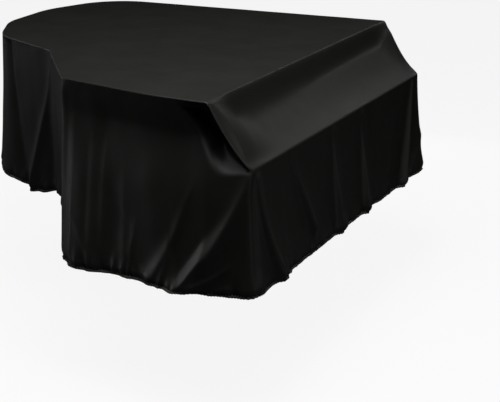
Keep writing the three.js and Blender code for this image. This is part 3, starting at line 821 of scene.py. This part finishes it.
def cloth_finish(name, dark, light, rough, threads, relief, gleam):
    """Woven finish between two tones and two roughnesses, with its threads per metre and their relief."""
    material = bpy.data.materials.new(name)
    material.use_nodes = True
    tree = material.node_tree
    shader = tree.nodes["Principled BSDF"]
    shader.inputs["IOR"].default_value = 1.5
    shader.inputs["Specular IOR Level"].default_value = gleam
    place = tree.nodes.new("ShaderNodeTexCoord")
    weave = tree.nodes.new("ShaderNodeGroup")
    weave.node_tree = WEAVE
    weave.inputs["Threads"].default_value = threads
    tree.links.new(place.outputs["UV"], weave.inputs["Vector"])
    patches = tree.nodes.new("ShaderNodeGroup")
    patches.node_tree = HANDLING
    tree.links.new(place.outputs["Object"], patches.inputs["Vector"])
    blend = maths(tree, "ADD", maths(tree, "MULTIPLY", weave.outputs["Tone"], 0.5),
                  maths(tree, "MULTIPLY", patches.outputs["Mask"], 0.5))
    tone = tree.nodes.new("ShaderNodeMix")
    tone.data_type = "RGBA"
    tone.inputs[MIX_FIRST].default_value = (*dark, 1)
    tone.inputs[MIX_SECOND].default_value = (*light, 1)
    tree.links.new(blend, tone.inputs[0])
    tree.links.new(tone.outputs[MIX_RESULT], shader.inputs["Base Color"])
    gloss = tree.nodes.new("ShaderNodeMapRange")
    gloss.inputs["To Min"].default_value = rough[0]
    gloss.inputs["To Max"].default_value = rough[1]
    tree.links.new(patches.outputs["Mask"], gloss.inputs["Value"])
    tree.links.new(gloss.outputs["Result"], shader.inputs["Roughness"])
    bump = tree.nodes.new("ShaderNodeBump")
    bump.inputs["Strength"].default_value = relief
    bump.inputs["Distance"].default_value = 0.0002
    tree.links.new(weave.outputs["Height"], bump.inputs["Height"])
    tree.links.new(bump.outputs["Normal"], shader.inputs["Normal"])
    return material


black_cloth = cloth_finish(
    "black cloth",
    dark=(0.0135, 0.0138, 0.0122),
    light=(0.0165, 0.0168, 0.0150),
    rough=(0.47, 0.505),
    threads=900,
    relief=0.2,
    gleam=0.35,
)
# The hem thread is black. Its tones here are several times lighter than the cloth's, as painted highlight on
# the stitches.
hem_thread_painted_highlight = cloth_finish(
    "hem thread with painted highlight",
    dark=(0.05, 0.05, 0.046),
    light=(0.07, 0.07, 0.064),
    rough=(0.5, 0.6),
    threads=1500,
    relief=0.4,
    gleam=0.3,
)


def finish_piece(piece, material, node=None):
    piece.data.materials.clear()
    piece.data.materials.append(material)
    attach(piece, "root")
    if node:
        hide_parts(node)
    return piece


# The cover

top_cloth = finish_piece(top(), black_cloth, "top_panel")
slope_cloth = finish_piece(slope(), black_cloth, "slope_panel")

# Skirt panels: start and end round the edge, flat size in metres and flat area in square metres
SKIRTS = [
    ("front", FAR_CORNER - ROUND, 0.0, (1.56, 0.42), 0.60),
    ("curved_side", 0.0, HIP, (1.68, 0.62), 0.92),
    ("tail", HIP, SHOULDER, (1.05, 0.61), 0.56),
    ("straight_side", SHOULDER, FAR_CORNER, (1.47, 0.61), 0.81),
]
for label, start, end, flat, area in SKIRTS:
    hanging = finish_piece(skirt(f"{label}_cloth", start, end), black_cloth, f"{label}_skirt")
    roll = finish_piece(hem_roll(f"{label}_hem", start, end), hem_thread_painted_highlight)

# Floor, light and camera

FLOOR_Z = -1.0
FLOOR_GLOW = 0.9


def pale_floor():
    """Floor that looks near white to the camera and throws little light back under the hem."""
    bpy.ops.mesh.primitive_plane_add(size=30, location=(0, 0, FLOOR_Z))
    floor = bpy.context.object
    floor.name = "floor"
    paint = bpy.data.materials.new("pale floor")
    paint.use_nodes = True
    tree = paint.node_tree
    shader = tree.nodes["Principled BSDF"]
    shader.inputs["Base Color"].default_value = (0.1, 0.1, 0.1, 1)
    shader.inputs["Roughness"].default_value = 0.9
    shader.inputs["Specular IOR Level"].default_value = 0.0
    shader.inputs["Emission Color"].default_value = (1, 1, 1, 1)
    seen = tree.nodes.new("ShaderNodeLightPath")
    glow = maths(tree, "MULTIPLY", seen.outputs["Is Camera Ray"], FLOOR_GLOW)
    tree.links.new(glow, shader.inputs["Emission Strength"])
    floor.data.materials.append(paint)


def softbox(name, location, target, width, depth, power, spread):
    """Soft rectangular light that the camera doesn't see, with its spread in degrees."""
    lamp = bpy.data.lights.new(name, "AREA")
    lamp.shape = "RECTANGLE"
    lamp.size = width
    lamp.size_y = depth
    lamp.energy = power
    lamp.spread = math.radians(spread)
    holder = bpy.data.objects.new(name, lamp)
    holder.location = location
    holder.rotation_euler = (Vector(target) - Vector(location)).to_track_quat("-Z", "Y").to_euler()
    holder.visible_camera = False
    bpy.context.scene.collection.objects.link(holder)


def white_room():
    """Room that looks white to the camera and throws no light on the cloth."""
    world = bpy.data.worlds.new("room")
    bpy.context.scene.world = world
    world.use_nodes = True
    tree = world.node_tree
    back = tree.nodes["Background"]
    back.inputs["Color"].default_value = (1, 1, 1, 1)
    seen = tree.nodes.new("ShaderNodeLightPath")
    tree.links.new(seen.outputs["Is Camera Ray"], back.inputs["Strength"])


# Soft lights: place, aim, width, depth, watts, and spread in degrees
LIGHTS = [
    ("above", (-0.4, -0.5, 2.0), (-0.4, -0.4, 0), 1.0, 1.0, 24, 180),
    ("above_near", (-0.9, -1.1, 2.0), (-0.5, -0.5, 0), 1.0, 1.0, 15, 180),
    ("above_left", (-1.55, 0.2, 3.0), (-0.4, 0, -0.1), 2.6, 2.0, 39, 180),
    ("rim", (0.2, 4.4, 0.8), (-0.6, 0, -0.3), 1.6, 1.6, 18, 180),
    ("side", (-1.06, 1.7, -0.3), (-0.8, -0.5, -0.46), 0.5, 0.5, 0.11, 24),
    ("front", (-1.3, -2.3, 2.6), (0, -0.7, -0.3), 1.4, 1.4, 13, 180),
    ("low_front", (-0.3, -3.6, -0.4), (0, -0.76, -0.4), 1.0, 0.6, 3.2, 180),
    ("far_side", (2.8, 0.1, -0.35), (0.76, 0, -0.35), 1.4, 0.6, 5, 180),
    ("right", (3.4, -1.1, 1.7), (0, -0.62, 0), 1.2, 0.8, 6.5, 180),
]

# Camera at the photograph's angle
CAMERA_PLACE = (-3.6457, -2.2090, 0.8102)
CAMERA_YAW = 1.105
CAMERA_PITCH = 0.324
FOCAL_PIXELS = 1175.4
IMAGE_WIDTH = 500
SENSOR_WIDTH = 36


def photo_camera():
    lens = bpy.data.cameras.new("camera")
    lens.sensor_width = SENSOR_WIDTH
    lens.lens = SENSOR_WIDTH * FOCAL_PIXELS / IMAGE_WIDTH
    lens.clip_end = 100
    holder = bpy.data.objects.new("camera", lens)
    holder.location = CAMERA_PLACE
    holder.rotation_euler = (math.pi / 2 - CAMERA_PITCH, 0, -CAMERA_YAW)
    bpy.context.scene.collection.objects.link(holder)
    bpy.context.scene.camera = holder


pale_floor()
white_room()
for light in LIGHTS:
    softbox(*light)
photo_camera()
bpy.context.scene.view_settings.view_transform = "Standard"
